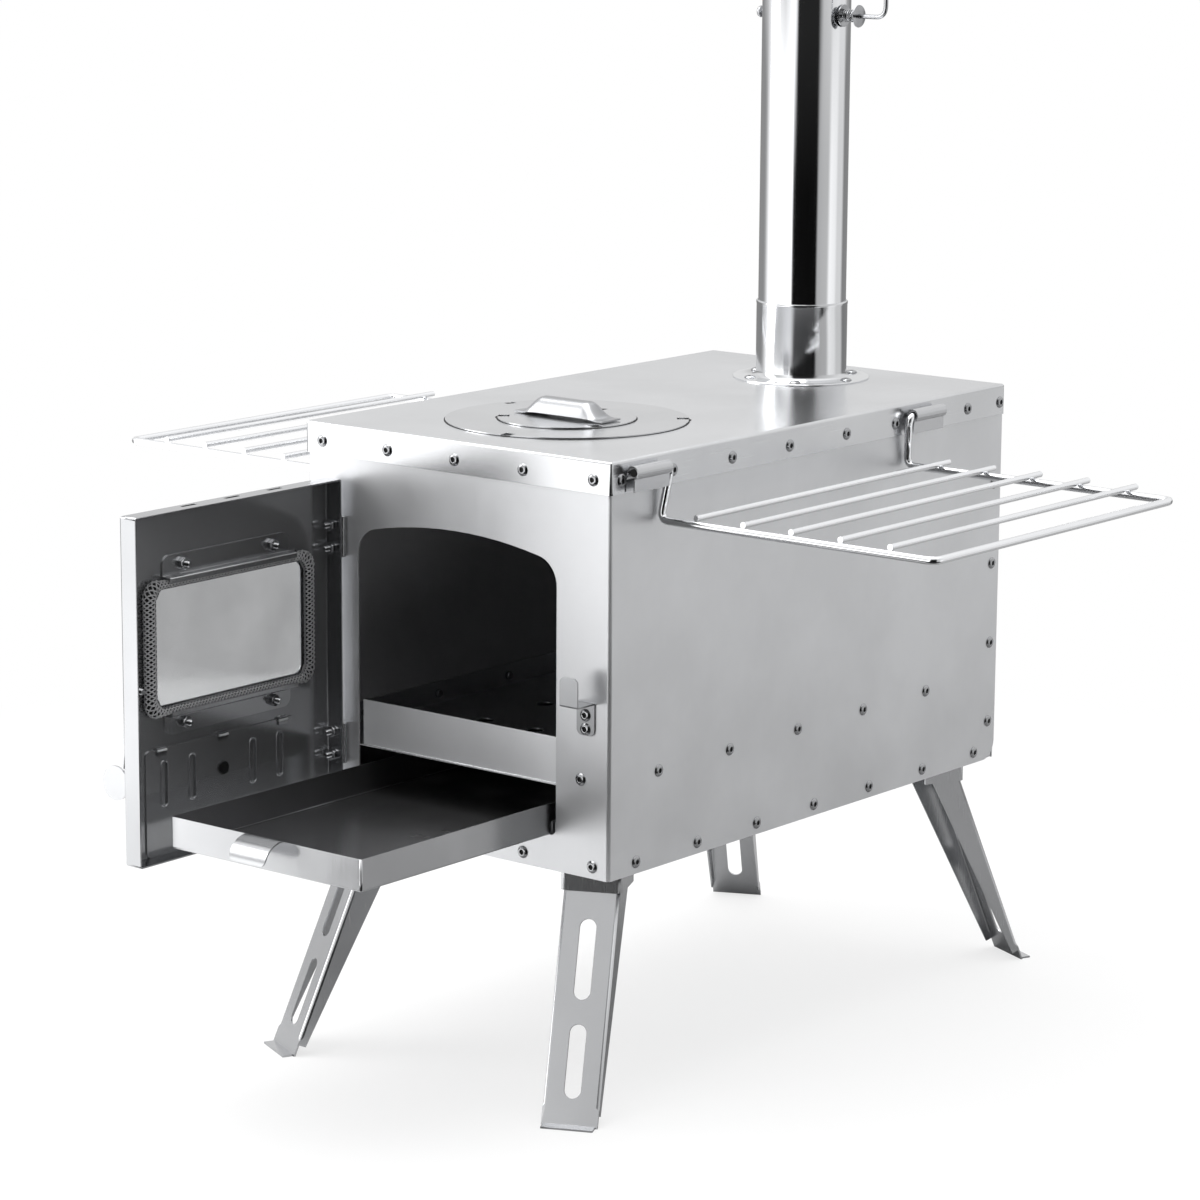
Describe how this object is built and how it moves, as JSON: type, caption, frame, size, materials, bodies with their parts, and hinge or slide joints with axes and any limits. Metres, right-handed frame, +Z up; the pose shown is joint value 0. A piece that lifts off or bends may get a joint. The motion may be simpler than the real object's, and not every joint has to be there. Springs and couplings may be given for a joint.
{
  "type": "tent stove",
  "caption": "Folding wood stove for a tent with glazed door, sliding ash drawer, lift-out hob ring and lid, side racks, damped flue and fold-under legs.",
  "frame": {"origin": "centre of the bounding box at rest, on the floor under the feet", "axes": "+Z up, -Y out of the fire door, +X to the right when facing the door from outside"},
  "size_m": [0.6632, 0.6605, 0.7102],
  "materials": {
    "sheet_steel": "brushed",
    "top_steel": "satin",
    "door_steel": "bright rolled",
    "pipe_steel": "polished",
    "leg_steel": "brushed",
    "wire_steel": "polished",
    "fastener_steel": "polished",
    "firebox_steel": "heat dulled",
    "drawer_steel": "dark satin",
    "gasket_braid": "braided",
    "black_knob": "black",
    "window_glass": "clear"
  },
  "bodies": {
    "stove": {"body_shell": "sheet_steel", "bottom_pan": "sheet_steel", "back_panel": "sheet_steel", "top_plate": "top_steel", "grate_pan": "firebox_steel", "drawer_runners": "firebox_steel", "shell_rivets": "fastener_steel", "skirt_rivets": "fastener_steel", "door_catch": "sheet_steel", "catch_rivets": "fastener_steel", "flue_collar": "sheet_steel", "collar_rivets": "fastener_steel", "hinge_body_leaves": "sheet_steel", "hinge_rivets": "fastener_steel", "hinge_pins": "fastener_steel", "rack_brackets": "sheet_steel", "leg_brackets": "leg_steel", "leg_pins": "fastener_steel"},
    "door": {"door_pan": "door_steel", "hinge_door_leaves": "sheet_steel", "hinge_bolts": "fastener_steel", "hinge_nuts": "fastener_steel", "window_glass": "window_glass", "window_gasket": "gasket_braid", "upper_window_clamp": "sheet_steel", "lower_window_clamp": "sheet_steel", "clamp_bolts": "fastener_steel", "clamp_nuts": "fastener_steel", "latch_bolt": "fastener_steel", "latch_nut": "fastener_steel"},
    "latch": {"latch_lever": "sheet_steel"},
    "shutter": {"air_shutter": "door_steel", "shutter_knob": "black_knob"},
    "drawer": {"ash_drawer": "drawer_steel", "drawer_pull": "sheet_steel"},
    "ring": {"hob_ring": "top_steel"},
    "lid": {"hob_lid": "top_steel", "lid_handle": "top_steel"},
    "flue": {"flue_pipe": "pipe_steel"},
    "damper": {"damper_shaft": "wire_steel", "damper_disc": "firebox_steel", "damper_washers": "fastener_steel", "damper_spring": "wire_steel"},
    "front_right_leg": {"leg_front_right": "leg_steel"},
    "front_left_leg": {"leg_front_left": "leg_steel"},
    "rear_right_leg": {"leg_rear_right": "leg_steel"},
    "rear_left_leg": {"leg_rear_left": "leg_steel"},
    "right_rack": {"rack_right": "wire_steel"},
    "left_rack": {"rack_left": "wire_steel"}
  },
  "joints": [
    {"name": "door_hinge", "type": "hinge", "parent": "stove", "child": "door", "pos_m": [-0.0926, -0.14365, 0.2712], "axis": [0, 0, 1], "range_deg": [-5, 3.5]},
    {"name": "latch_turn", "type": "hinge", "parent": "door", "child": "latch", "pos_m": [-0.1051, -0.31915, 0.2672], "axis": [-1, 0, 0], "range_deg": [-20, 125]},
    {"name": "shutter_slide", "type": "slide", "parent": "door", "child": "shutter", "axis": [0, -1, 0], "range_m": [0, 0.012]},
    {"name": "drawer_slide", "type": "slide", "parent": "stove", "child": "drawer", "axis": [0, 1, 0], "range_m": [-0.2, 0.18]},
    {"name": "ring_lift", "type": "slide", "parent": "stove", "child": "ring", "axis": [0, 0, 1], "range_m": [0, 0.04]},
    {"name": "lid_lift", "type": "slide", "parent": "ring", "child": "lid", "axis": [0, 0, 1], "range_m": [0, 0.06]},
    {"name": "flue_lift", "type": "slide", "parent": "stove", "child": "flue", "axis": [0, 0, 1], "range_m": [0, 0.08]},
    {"name": "damper_turn", "type": "hinge", "parent": "flue", "child": "damper", "pos_m": [0, 0.22095, 0.6572], "axis": [1, 0, 0], "range_deg": [-90, 90]},
    {"name": "front_right_leg_fold", "type": "hinge", "parent": "stove", "child": "front_right_leg", "pos_m": [0.0881, -0.10445, 0.1436], "axis": [0.9063, 0.4226, 0], "range_deg": [0, 115]},
    {"name": "front_left_leg_fold", "type": "hinge", "parent": "stove", "child": "front_left_leg", "pos_m": [-0.0881, -0.10445, 0.1436], "axis": [0.9063, -0.4226, 0], "range_deg": [0, 115]},
    {"name": "rear_right_leg_fold", "type": "hinge", "parent": "stove", "child": "rear_right_leg", "pos_m": [0.0881, 0.24735, 0.1436], "axis": [-0.9063, 0.4226, 0], "range_deg": [0, 115]},
    {"name": "rear_left_leg_fold", "type": "hinge", "parent": "stove", "child": "rear_left_leg", "pos_m": [-0.0881, 0.24735, 0.1436], "axis": [-0.9063, -0.4226, 0], "range_deg": [0, 115]},
    {"name": "right_rack_fold", "type": "hinge", "parent": "stove", "child": "right_rack", "pos_m": [0.1306, 0.03495, 0.4027], "axis": [0, -1, 0], "range_deg": [0, 95]},
    {"name": "left_rack_fold", "type": "hinge", "parent": "stove", "child": "left_rack", "pos_m": [-0.1306, 0.03495, 0.4027], "axis": [0, 1, 0], "range_deg": [0, 95]}
  ]
}
